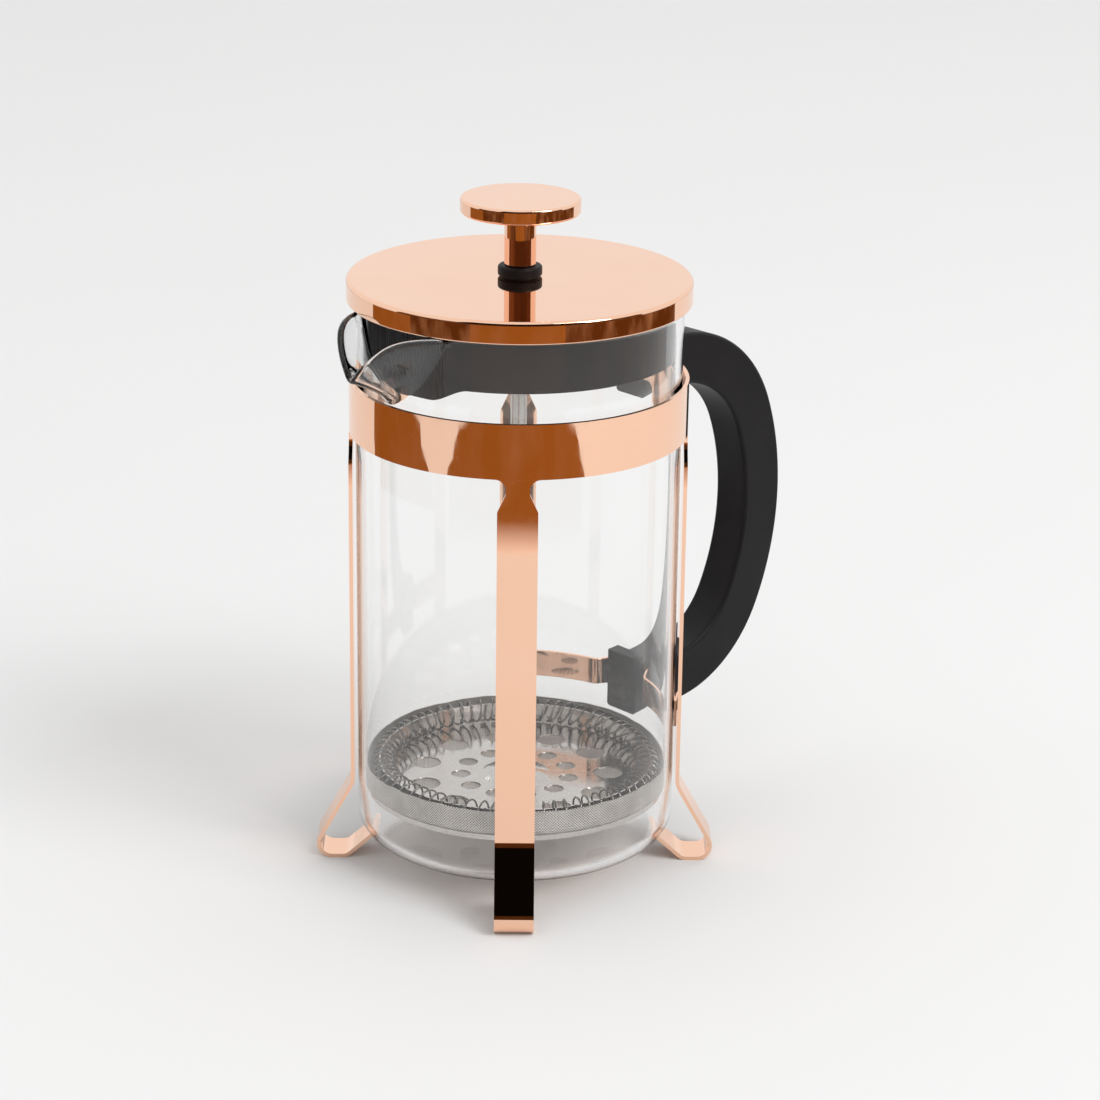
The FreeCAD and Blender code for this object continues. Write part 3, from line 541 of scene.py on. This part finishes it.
def leg_line():
    """The leg's centre line as (radius, height, outward tilt), drawn by travelling down it."""
    middle = FRAME_RADIUS - SHEET / 2
    bend, bend_z, tilt = 7.0, 28.0, math.radians(29)
    curl, flat, tail, rise = 4.4, 3.0, 4.0, math.radians(42)
    line = []
    for sweep in (90, 78, 66, 52, 38, 25, 12, 0):
        height = BAND_BOTTOM - (NECK_ROOT - NECK_HALF) * (1 - math.sin(math.radians(sweep)))
        line.append((middle, height, 0.0))
    line += [(middle, height, 0.0) for height in (NECK_END, 137.4, 135.5, SHOULDER)]
    line += [(middle, height, 0.0) for height in (133.0, 128, 120, 110, 98, 86, 74, 62, 50, 40, 32, 29)]
    for step in range(11):
        sweep = tilt * step / 10
        line.append((middle + bend * (1 - math.cos(sweep)), bend_z - bend * math.sin(sweep), sweep))
    bend_x, low_z = line[-1][:2]
    curl_z = SHEET / 2 + curl
    slope_z = curl_z + curl * math.sin(tilt)
    slope_x = bend_x + (low_z - slope_z) * math.tan(tilt)
    for step in range(1, 9):
        share = step / 9
        line.append((bend_x + (slope_x - bend_x) * share, low_z + (slope_z - low_z) * share, tilt))
    curl_x = slope_x - curl * math.cos(tilt)
    for step in range(17):
        sweep = tilt - (tilt + math.pi / 2) * step / 16
        line.append((curl_x + curl * math.cos(sweep), curl_z + curl * math.sin(sweep), sweep))
    tail_x = curl_x - flat
    line.append((tail_x + 0.1, SHEET / 2, -math.pi / 2))
    for step in range(9):
        sweep = rise * step / 8
        x = tail_x - tail * math.sin(sweep)
        z = SHEET / 2 + tail * (1 - math.cos(sweep))
        line.append((x, z, -math.pi / 2 - sweep))
    rise_x, rise_z = line[-1][:2]
    end = 44.8
    for step in range(1, 5):
        x = rise_x + (end - rise_x) * step / 4
        line.append((x, rise_z + (rise_x - x) * math.tan(rise), -math.pi / 2 - rise))
    return line


# places along the leg's line up to here are in its waisted top
LEG_TOP_PLACES = 20


def leg_half(height, place):
    """Half the leg's width at a place along its line."""
    if place > LEG_TOP_PLACES or height <= SHOULDER:
        return LEG_HALF
    if height >= BAND_BOTTOM - (NECK_ROOT - NECK_HALF):
        up = height - (BAND_BOTTOM - (NECK_ROOT - NECK_HALF))
        flare = NECK_ROOT - NECK_HALF
        return NECK_ROOT - math.sqrt(max(flare**2 - up**2, 0.0))
    if height >= NECK_END:
        return NECK_HALF
    return NECK_HALF + (LEG_HALF - NECK_HALF) * (NECK_END - height) / (NECK_END - SHOULDER)


def grid_faces(rows, columns, first):
    """Quads of a grid of points stored row by row from the first."""
    return [
        (
            first + row * columns + column,
            first + row * columns + column + 1,
            first + (row + 1) * columns + column + 1,
            first + (row + 1) * columns + column,
        )
        for row in range(rows - 1)
        for column in range(columns - 1)
    ]


def stamping():
    """Band and legs as the one stamping they are on the real object."""
    verts = []
    faces = []
    plan = band_plan()
    shares = (0, 0.03, 0.25, 0.5, 0.75, 0.97, 1)
    for share in shares:
        verts += [(x, y, bottom + (top - bottom) * share) for x, y, bottom, top in plan]
    faces += grid_faces(len(shares), len(plan), 0)
    line = leg_line()
    for angle in LEG_ANGLES:
        first = len(verts)
        spin = Matrix.Rotation(math.radians(angle), 3, "Z")
        for index, (radius, height, tilt) in enumerate(line):
            half = leg_half(height, index)
            curved = eased((height - SHOULDER) / (BAND_BOTTOM - SHOULDER)) if index < LEG_TOP_PLACES else 0.0
            for step in range(ACROSS + 1):
                across = half * (step / ACROSS * 2 - 1)
                sag = (FRAME_RADIUS - math.sqrt(FRAME_RADIUS**2 - across**2)) * curved
                x = radius + SHEET / 2 * math.cos(tilt) - sag
                z = height + SHEET / 2 * math.sin(tilt)
                verts.append(spin @ Vector((x, across, z)))
        faces += grid_faces(len(line), ACROSS + 1, first)
    thing = piece("frame_stamping", verts, faces, COPPER, "frame", ["frame_band", *LEG_NODES], sharp=50)
    point_outwards(thing)
    thicken(thing, SHEET)


def point_outwards(thing):
    """Turns a sheet's faces so that most of their normals point away from the Z axis."""
    mesh = thing.data
    score = sum(
        face.normal.dot(Vector((face.center.x, face.center.y, 0))) * face.area
        for face in mesh.polygons
    )
    if score < 0:
        mesh.flip_normals()


def thicken(thing, thickness, edge=0.22):
    solid = thing.modifiers.new("sheet", "SOLIDIFY")
    solid.thickness = thickness * MM
    solid.offset = -1
    solid.use_even_offset = True
    bevel = thing.modifiers.new("edges", "BEVEL")
    bevel.width = edge * MM
    bevel.segments = 3
    bevel.limit_method = "ANGLE"
    bevel.angle_limit = math.radians(50)
    bevel.harden_normals = True


stamping()


def strap():
    """The lower strap round the back of the glass, with the square step that the handle hooks on."""
    bottom, top = low("handle_strap", "z"), high("handle_strap", "z")
    back = high("handle_strap", "x")
    start = 45 - math.degrees(math.asin(LEG_HALF / FRAME_RADIUS))
    leave_y, square_y = 12.2, 8.2
    stop = math.degrees(math.asin(leave_y / FRAME_RADIUS))
    arc = [start + (stop - start) * step / 20 for step in range(21)]
    corners = [
        (FRAME_RADIUS * math.cos(math.radians(a)), FRAME_RADIUS * math.sin(math.radians(a)), 0)
        for a in arc
    ]
    corners[-1] = (*corners[-1][:2], 1.6)
    corners.append((back, square_y, 1.4))
    corners += [(x, -y, radius) for x, y, radius in reversed(corners)]
    path = rounded(corners, closed=False, steps=8)
    verts = []
    heights = (bottom, bottom + 0.3, (bottom + top) / 2, top - 0.3, top)
    for height in heights:
        verts += [(point.x, point.y, height) for point in path]
    faces = grid_faces(len(heights), len(path), 0)
    thing = piece("strap_strip", verts, faces, COPPER, "frame", ["handle_strap"], sharp=50)
    point_outwards(thing)
    thicken(thing, SHEET)


strap()

# ------------------------------------------------------------------ lid

LID_RADIUS = high("lid_cover", "x")
LID_BOTTOM, LID_TOP = low("lid_cover", "z"), high("lid_cover", "z")
BUSH_NECK = 5.0
lid = lathe(
    "lid_cap",
    [
        (BUSH_NECK + 0.05, LID_TOP - 0.8, 0),
        (LID_RADIUS - 0.8, LID_TOP - 0.8, 0.5),
        (LID_RADIUS - 0.8, LID_BOTTOM, 0.3),
        (LID_RADIUS, LID_BOTTOM, 0.45),
        (LID_RADIUS, LID_TOP, 1.2),
        (BUSH_NECK + 0.05, LID_TOP, 0.1),
    ],
    COPPER,
    "lid",
    ["lid_cover"],
    segments=256,
    steps=8,
)


SKIRT_RADIUS = 47.8
SKIRT_BOTTOM = 169.0
SKIRT_INSIDE = 45.8
FLANGE_RADIUS = high("lid_insert", "x")
FLANGE_BOTTOM = 185.0
FLANGE_UNDERSIDE = 188.7
APRON_BOTTOM = low("lid_insert", "z")
# degrees from the spout's middle where the apron starts to rise, and how many it takes
APRON_HALF_ANGLE = 17.0
APRON_RISE = 15.0
# the ribs: degrees from the spout's middle where they end, then millimetres
RIBS_END = 24.0
RIBS_TOP = 184.5
RIB_PITCH = 0.95
RIB_DEPTH = 0.5


def from_spout(angle):
    """Degrees between a direction in radians and the spout's middle."""
    return abs((math.degrees(angle) - SPOUT_AROUND + 180) % 360 - 180)


def ribs(angle, radius):
    """Fine upright ribs on the side of the skirt that faces the spout."""
    away = from_spout(angle)
    if radius < SKIRT_RADIUS - 1.0 or radius > SKIRT_RADIUS + 0.5 or away > RIBS_END:
        return 0.0
    wave = 0.5 - 0.5 * math.cos(math.radians(away) * SKIRT_RADIUS * TURN / RIB_PITCH)
    return -RIB_DEPTH * wave * eased((RIBS_END - away) / 2)


def insert():
    """The black plastic body of the lid: flange, ribbed skirt and the deeper apron beside the spout."""
    top = high("lid_insert", "z")
    segments = 2160
    verts = []
    heights = (FLANGE_BOTTOM, 184.4, 182.0, 176.0, 171.0)
    for turn in range(segments):
        angle = TURN * turn / segments
        deep = 1 - eased((from_spout(angle) - APRON_HALF_ANGLE) / APRON_RISE)
        bottom = SKIRT_BOTTOM + (APRON_BOTTOM - SKIRT_BOTTOM) * deep
        section = [(BUSH_NECK + 0.1, FLANGE_UNDERSIDE), (45.2, FLANGE_UNDERSIDE), (SKIRT_INSIDE, 188.0)]
        section += [(SKIRT_INSIDE, bottom + 0.3), (46.1, bottom)]
        section += [(SKIRT_RADIUS - 0.4, bottom), (SKIRT_RADIUS, bottom + 0.4)]
        section += [(SKIRT_RADIUS, height) for height in reversed(heights)]
        section += [(FLANGE_RADIUS - 0.3, FLANGE_BOTTOM), (FLANGE_RADIUS, 185.3), (FLANGE_RADIUS, top)]
        section += [(BUSH_NECK + 0.1, top)]
        for radius, height in section:
            reach = radius + ribs(angle, radius) if bottom < height < RIBS_TOP else radius
            verts.append((reach * math.cos(angle), reach * math.sin(angle), height))
    faces = turned_faces(segments, len(section))
    thing = piece("lid_body", verts, faces, PLASTIC, "lid", ["lid_insert"], sharp=40)


insert()

BUSH_TOP = high("rod_bushing", "z")
BUSH_BOTTOM = low("rod_bushing", "z")
BUSH_RADIUS = high("rod_bushing", "x")
ROD_RADIUS = high("plunger_rod", "x")
bushing = lathe(
    "bushing_moulding",
    [
        (ROD_RADIUS + 0.05, BUSH_BOTTOM, 0.2),
        (BUSH_NECK, BUSH_BOTTOM, 0.3),
        (BUSH_NECK, LID_TOP + 0.05, 0),
        (6.2, LID_TOP + 0.05, 0.15),
        (6.2, LID_TOP + 0.5, 0.1),
        (BUSH_RADIUS, LID_TOP + 0.5, 0.5),
        (BUSH_RADIUS, BUSH_TOP, 0.8),
        (ROD_RADIUS + 0.05, BUSH_TOP, 0.2),
    ],
    HANDLE_PLASTIC,
    "bushing",
    ["rod_bushing"],
    segments=96,
)

# ------------------------------------------------------------------ plunger

KNOB_RADIUS = high("knob", "x")
KNOB_BOTTOM, KNOB_TOP = low("knob", "z"), high("knob", "z")
STEM_RADIUS = high("knob_stem", "x")
STEM_BOTTOM = low("knob_stem", "z")
knob = lathe(
    "knob_disc",
    [
        (0, KNOB_BOTTOM, 0),
        (KNOB_RADIUS, KNOB_BOTTOM, 0.8),
        (KNOB_RADIUS, KNOB_TOP, 0.9),
        (0, KNOB_TOP, 0),
    ],
    COPPER,
    "plunger",
    ["knob"],
    steps=8,
)
stem = lathe(
    "stem_tube",
    [
        (ROD_RADIUS, STEM_BOTTOM, 0),
        (STEM_RADIUS, STEM_BOTTOM, 0.3),
        (STEM_RADIUS, KNOB_BOTTOM, 0),
        (ROD_RADIUS, KNOB_BOTTOM, 0),
    ],
    COPPER,
    "plunger",
    ["knob_stem"],
    segments=128,
)
rod = lathe(
    "rod_bar",
    [
        (0, low("plunger_rod", "z"), 0),
        (ROD_RADIUS, low("plunger_rod", "z"), 0.4),
        (ROD_RADIUS, high("plunger_rod", "z"), 0.2),
        (0, high("plunger_rod", "z"), 0),
    ],
    ROD_STEEL,
    "plunger",
    ["plunger_rod"],
    segments=64,
)

# the coil spring round the screen's rim, as real wire
COIL_TURNS = 72
COIL_LOW, COIL_HIGH = low("coil_spring", "z"), high("coil_spring", "z")
COIL_REACH = high("coil_spring", "x")
WIRE_RADIUS = 0.3
COIL_POINTS = 12
# against the CAD ring the wire stands this much higher and further in
COIL_RAISE = 0.4
COIL_LEAN = 1.0
# the curve's points swing this many times wider and taller than the ring's section; the curve itself
# runs a few per cent inside them
COIL_WIDER = 1.22
COIL_TALLER = 1.1
# each turn may stand this many degrees off its even place
COIL_DRIFT = 0.9


def coil():
    """One closed wire that winds round the rim, its turns a little unevenly spaced."""
    middle = (COIL_LOW + COIL_HIGH) / 2 + COIL_RAISE
    swing = (COIL_HIGH - COIL_LOW) / 2 - WIRE_RADIUS
    centre = COIL_REACH - (COIL_HIGH - COIL_LOW) / 2 - COIL_LEAN
    chance = random.Random(7)
    drift = [chance.uniform(-COIL_DRIFT, COIL_DRIFT) for _ in range(COIL_TURNS)]
    curve = bpy.data.curves.new("coil_wire", "CURVE")
    curve.dimensions = "3D"
    curve.bevel_depth = WIRE_RADIUS * MM
    curve.bevel_resolution = 2
    spline = curve.splines.new("NURBS")
    total = COIL_TURNS * COIL_POINTS
    spline.points.add(total - 1)
    for step in range(total):
        loop = step / COIL_POINTS
        first = int(loop)
        part = eased(loop - first)
        lean = drift[first] * (1 - part) + drift[(first + 1) % COIL_TURNS] * part
        around = TURN * loop / COIL_TURNS + math.radians(lean)
        sweep = TURN * loop
        reach = (centre + swing * COIL_WIDER * math.cos(sweep)) * MM
        height = (middle + swing * COIL_TALLER * math.sin(sweep)) * MM
        spline.points[step].co = (reach * math.cos(around), reach * math.sin(around), height, 1)
    spline.order_u = 4
    spline.use_cyclic_u = True
    spline.resolution_u = 2
    thing = bpy.data.objects.new("coil_wire", curve)
    bpy.context.scene.collection.objects.link(thing)
    curve.materials.append(WIRE)
    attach(thing, "plunger")
    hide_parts("coil_spring")


coil()


# waves round the screen's cut edge, and how far each may lift it
EDGE_WAVES = (3, 5, 8, 13, 34, 55)
EDGE_LIFT = 0.14


def screen():
    """The woven screen: a dish with a slightly uneven cut edge."""
    radius = high("mesh_screen", "x")
    bottom, top = low("mesh_screen", "z"), high("mesh_screen", "z")
    bore, sheet, turn = ROD_RADIUS + 0.05, 0.4, 1.6
    chance = random.Random(3)
    phases = [
        (chance.uniform(0, TURN), chance.uniform(-EDGE_LIFT, EDGE_LIFT), count)
        for count in EDGE_WAVES
    ]
    outline = rounded(
        [
            (bore, bottom, 0),
            (radius, bottom, turn),
            (radius, top - 0.2, 0),
            (radius - sheet, top - 0.2, 0),
            (radius - sheet, bottom + sheet, turn - sheet),
            (bore, bottom + sheet, 0),
        ],
        steps=6,
    )
    segments = 240
    verts = []
    places = []
    for step in range(segments + 1):
        angle = TURN * step / segments
        ripple = sum(size * math.sin(angle * waves + phase) for phase, size, waves in phases)
        for reach, height in outline:
            if height > top - 1:
                height = min(height + ripple, top)
            verts.append((reach * math.cos(angle), reach * math.sin(angle), height))
            places.append((angle * radius, height, reach, angle))
    mesh = bpy.data.meshes.new("screen_cloth")
    faces = turned_faces(segments, len(outline), closed=False)
    mesh.from_pydata([Vector(point) * MM for point in verts], [], faces)
    layer = mesh.uv_layers.new(name="millimetres")
    for face in mesh.polygons:
        flat = all(places[mesh.loops[i].vertex_index][2] < radius - turn + 0.01 for i in face.loop_indices)
        for index in face.loop_indices:
            along, height, reach, angle = places[mesh.loops[index].vertex_index]
            if flat:
                layer.data[index].uv = (reach * math.cos(angle), reach * math.sin(angle))
            else:
                layer.data[index].uv = (along + height, along - height)
    mesh.shade_smooth()
    mesh.set_sharp_from_angle(angle=math.radians(40))
    thing = bpy.data.objects.new("screen_cloth", mesh)
    bpy.context.scene.collection.objects.link(thing)
    mesh.materials.append(CLOTH)
    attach(thing, "plunger")
    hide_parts("mesh_screen")


screen()

# ------------------------------------------------------------------ CAD nodes that stay

KEPT = {
    "handle": (HANDLE_PLASTIC, 0.35),
    "clamp_screw": (STEEL, 0.15),
    "clamp_nut": (STEEL, 0.15),
    "bushing_clip": (STEEL, 0.12),
    "rod_collar": (STEEL, 0.25),
    "spiral_plate": (STEEL, 0.08),
    "cross_plate": (STEEL, 0.12),
    "hub_nut": (STEEL, 0.3),
}
for node, (material, edge) in KEPT.items():
    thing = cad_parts[node]
    for held in thing.material_slots:
        held.material = material
    bevel = thing.modifiers.new("edges", "BEVEL")
    bevel.width = edge * MM
    bevel.segments = 3
    bevel.limit_method = "ANGLE"
    bevel.angle_limit = math.radians(40)
    bevel.harden_normals = True

# ------------------------------------------------------------------ studio


def stage_sheet(name, corners, material):
    """A flat sheet that belongs to the studio, not to the object. Corners are in metres."""
    mesh = bpy.data.meshes.new(name)
    mesh.from_pydata(corners, [], [tuple(range(len(corners)))])
    thing = bpy.data.objects.new(name, mesh)
    bpy.context.scene.collection.objects.link(thing)
    mesh.materials.append(material)


paper = Surface("paper", (0.72, 0.72, 0.72), roughness=0.6)
paper.colours(paper.noise(6, detail=3), (0.715, 0.713, 0.712), (0.728, 0.726, 0.725))
paper.shader.inputs["Specular IOR Level"].default_value = 0.1
SPAN = 12.0
stage_sheet("floor", [(-SPAN, -SPAN, 0), (SPAN, -SPAN, 0), (SPAN, SPAN, 0), (-SPAN, SPAN, 0)], paper.material)

# The camera stands at 225 degrees from the handle. Directions round the studio are counted from there.
CAMERA_AROUND = math.radians(225)


def around(degrees, radius, height):
    angle = CAMERA_AROUND + math.radians(degrees)
    return (radius * math.cos(angle), radius * math.sin(angle), height)


def flag_material(name, dark, pale, near, mottling):
    """A matt sheet whose colour paints reflections on the polished parts: dark, mottled into painted streaks,
    and as pale as the floor at its near edge.
    """
    look = Surface(name, dark, roughness=0.9)
    look.shader.inputs["Specular IOR Level"].default_value = 0.0
    length = look.nodes.new("ShaderNodeVectorMath")
    length.operation = "LENGTH"
    look.link(look.place, length.inputs[0])
    fade = look.between(length.outputs["Value"], near, near + 0.04, 1.0, 0.0)
    # painted reflection: noise mottling that paints soft streaks into what the polished parts reflect
    mottled = look.between(look.noise(7, detail=4), 0.45, 0.8, 0.0, mottling)
    look.colours(look.sums("MAXIMUM", fade, mottled), dark, pale)
    return look.material


def flag(name, rows, material):
    """A studio flag that only polished surfaces see.

    Each row is (distance, height, first direction, last direction).
    """
    steps = 16
    verts = [
        around(first + (last - first) * step / steps, radius, height)
        for radius, height, first, last in rows
        for step in range(steps + 1)
    ]
    mesh = bpy.data.meshes.new(name)
    mesh.from_pydata(verts, [], grid_faces(len(rows), steps + 1, 0))
    thing = bpy.data.objects.new(name, mesh)
    bpy.context.scene.collection.objects.link(thing)
    mesh.materials.append(material)
    thing.visible_camera = False
    thing.visible_diffuse = False
    thing.visible_transmission = False
    thing.visible_shadow = False


# The flags' colours are painted reflections: brownish and dark patches, placed where the copper and glass
# should show them.
brown_reflection = flag_material("flag_brown_reflection", (0.24, 0.09, 0.016), (0.74, 0.68, 0.64), 0.385, 0.06)
dusk = flag_material("flag_dusk", (0.085, 0.028, 0.006), (0.5, 0.3, 0.17), 0.55, 0.5)
gloom = flag_material("flag_gloom", (0.07, 0.028, 0.009), (0.25, 0.12, 0.05), 0.1, 0.3)
night = flag_material("flag_night", (0.003, 0.0025, 0.002), (0.008, 0.006, 0.005), 0.1, 0.1)
floor_front = [
    (0.385, -46, 43),
    (0.475, -46, 43),
    (0.487, -45, 42),
    (0.500, -42, 40),
    (0.525, -41, 38.6),
    (0.550, -38, 36),
    (0.562, -33, 31),
    (0.575, -31, 29),
    (1.500, -31, 29),
]
floor_left = [
    (0.420, -108, -57),
    (0.475, -108, -59),
    (0.490, -109, -62),
    (0.510, -109, -65),
    (0.545, -109, -66),
    (0.562, -109, -72),
    (1.500, -109, -76),
]
WALL_NEAR, WALL_FAR = 1.5, 1.6
WALL_SPLIT, WALL_TOP = 0.64, 2.2
WALL_FIRST, WALL_LAST = -41, 47
FLOOR_FLAG, FLOOR_FLAG_LOW = 0.002, 0.001
flag("flag_floor", [(radius, FLOOR_FLAG, first, last) for radius, first, last in floor_front], brown_reflection)
flag("flag_floor_left", [(radius, FLOOR_FLAG, first, last) for radius, first, last in floor_left], brown_reflection)
flag("flag_floor_sides", [(0.58, FLOOR_FLAG_LOW, -100, 120), (WALL_FAR, FLOOR_FLAG_LOW, -100, 120)], dusk)
low_rows = [(WALL_NEAR, height, WALL_FIRST, WALL_LAST) for height in (FLOOR_FLAG, WALL_SPLIT)]
high_rows = [(WALL_NEAR, height, WALL_FIRST, WALL_LAST) for height in (WALL_SPLIT, WALL_TOP)]
flag("flag_wall_low", low_rows, gloom)
flag("flag_wall_high", high_rows, night)
flag("flag_wall_sides", [(WALL_FAR, FLOOR_FLAG_LOW, -85, 85), (WALL_FAR, 0.9, -85, 85)], dusk)

world = bpy.data.worlds.new("studio")
bpy.context.scene.world = world
world.use_nodes = True
world.node_tree.nodes["Background"].inputs["Color"].default_value = (1.0, 1.0, 1.0, 1)
world.node_tree.nodes["Background"].inputs["Strength"].default_value = 0.95


def softbox(name, place, aim, width, height, power):
    lamp = bpy.data.lights.new(name, "AREA")
    lamp.shape = "RECTANGLE"
    lamp.size, lamp.size_y = width, height
    lamp.energy = power
    thing = bpy.data.objects.new(name, lamp)
    bpy.context.scene.collection.objects.link(thing)
    thing.location = place
    thing.rotation_euler = (Vector(aim) - Vector(place)).to_track_quat("-Z", "Y").to_euler()


softbox("key", (0.3, -2.3, 2.5), (0, 0, 0.05), 1.5, 1.5, 57)

# ------------------------------------------------------------------ camera

CAMERA_PLACE = Vector((-0.69084, -0.69084, 0.4518))
FORWARD = Vector((0.67299, 0.65904, -0.33578)).normalized()
ROLL = math.radians(0.75)
SENSOR_WIDTH = 36.0
FOCAL_LENGTH = 108.33
level = FORWARD.cross(Vector((0, 0, 1))).normalized()
upright = level.cross(FORWARD)
right = level * math.cos(ROLL) + upright * math.sin(ROLL)
up = upright * math.cos(ROLL) - level * math.sin(ROLL)
lens = bpy.data.cameras.new("camera")
lens.sensor_width = SENSOR_WIDTH
lens.lens = FOCAL_LENGTH
lens.clip_start = 0.05
lens.clip_end = 60.0
camera = bpy.data.objects.new("camera", lens)
bpy.context.scene.collection.objects.link(camera)
camera.matrix_world = Matrix((right, up, -FORWARD)).transposed().to_4x4()
camera.location = CAMERA_PLACE
bpy.context.scene.camera = camera
bpy.context.scene.view_settings.view_transform = "Standard"
